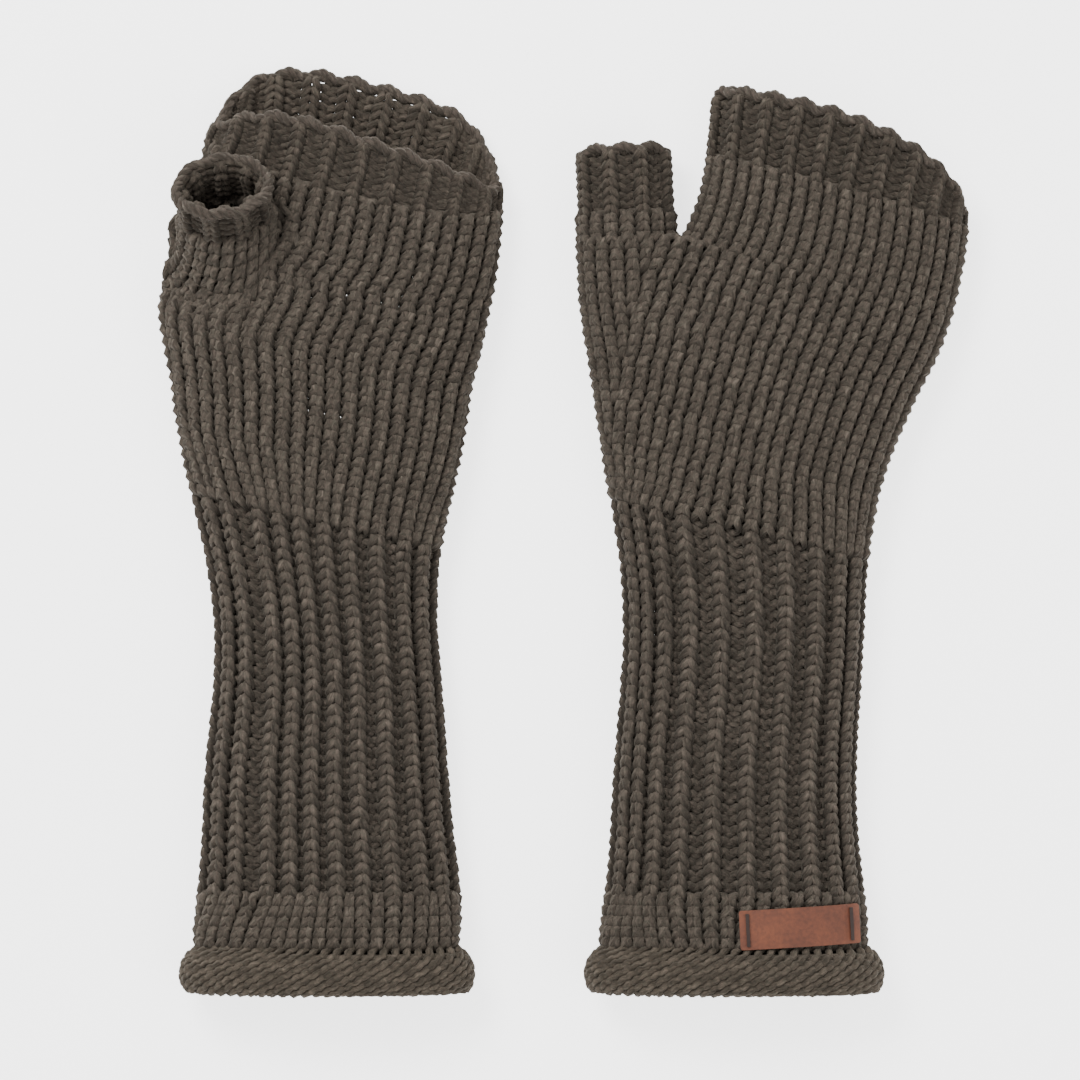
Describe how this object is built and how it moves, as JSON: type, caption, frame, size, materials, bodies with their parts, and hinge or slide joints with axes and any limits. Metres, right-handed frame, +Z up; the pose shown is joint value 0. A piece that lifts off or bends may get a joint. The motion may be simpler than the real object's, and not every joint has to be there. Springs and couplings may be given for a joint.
{
  "type": "fingerless gloves",
  "caption": "Pair of long knitted fingerless gloves with ribbed cuffs, rolled hems, an open thumb tube on each, and a blank leather label sewn beside one hem.",
  "frame": {"origin": "on the table, under the middle of the pair's outline", "axes": "+Z up from the table, +Y from the hems towards the fingers, +X from the left glove towards the right glove"},
  "size_m": [0.2392, 0.272, 0.045],
  "materials": {
    "plain_knit": "plain-stitch wool knit, brown-grey heather",
    "rib_knit": "one-by-one rib wool knit, brown-grey heather",
    "hem_knit": "rolled reverse-stitch wool knit, brown-grey heather",
    "edge_knit": "bound-off wool chain, brown-grey heather",
    "label_leather": "tan leather, matt, lightly grained",
    "label_thread": "dark brown sewing thread"
  },
  "bodies": {
    "left_cuff": {"left_rolled_hem": "hem_knit", "left_hem_band": "plain_knit", "left_cuff_rib": "rib_knit"},
    "left_hand": {"left_wrist": "rib_knit", "left_hand": "plain_knit", "left_finger_rib": "rib_knit", "left_finger_edge": "edge_knit"},
    "left_thumb": {"left_thumb_root": "plain_knit", "left_thumb_rib": "rib_knit", "left_thumb_edge": "edge_knit"},
    "right_cuff": {"right_rolled_hem": "hem_knit", "right_hem_band": "plain_knit", "right_cuff_rib": "rib_knit", "label": "label_leather", "label_stitch_front": "label_thread", "label_stitch_side": "label_thread"},
    "right_hand": {"right_wrist": "rib_knit", "right_hand": "plain_knit", "right_finger_rib": "rib_knit", "right_finger_edge": "edge_knit"},
    "right_thumb": {"right_thumb_root": "plain_knit", "right_thumb_rib": "rib_knit", "right_thumb_edge": "edge_knit"}
  },
  "joints": [
    {"name": "right_glove_apart", "type": "slide", "parent": "left_cuff", "child": "right_cuff", "axis": [1, 0, 0], "range_m": [0, 0.1]},
    {"name": "left_wrist_fold", "type": "hinge", "parent": "left_cuff", "child": "left_hand", "pos_m": [-0.0721, -0.011, 0.0115], "axis": [0.9834, -0.1816, 0], "range_deg": [0, 75], "deforming": ["left_wrist"]},
    {"name": "left_thumb_swing", "type": "hinge", "parent": "left_hand", "child": "left_thumb", "pos_m": [-0.0985, 0.087, 0.014], "axis": [0, -1, 0], "range_deg": [0, 40], "stiffness_Nm_per_rad": 0.02, "deforming": ["left_thumb_root"]},
    {"name": "right_wrist_fold", "type": "hinge", "parent": "right_cuff", "child": "right_hand", "pos_m": [0.052, -0.0136, 0.0115], "axis": [0.9813, -0.1925, 0], "range_deg": [0, 75], "deforming": ["right_wrist"]},
    {"name": "right_thumb_lift", "type": "hinge", "parent": "right_hand", "child": "right_thumb", "pos_m": [0.0184, 0.086, 0.0105], "axis": [1, 0, 0], "range_deg": [0, 50], "deforming": ["right_thumb_root"]}
  ]
}
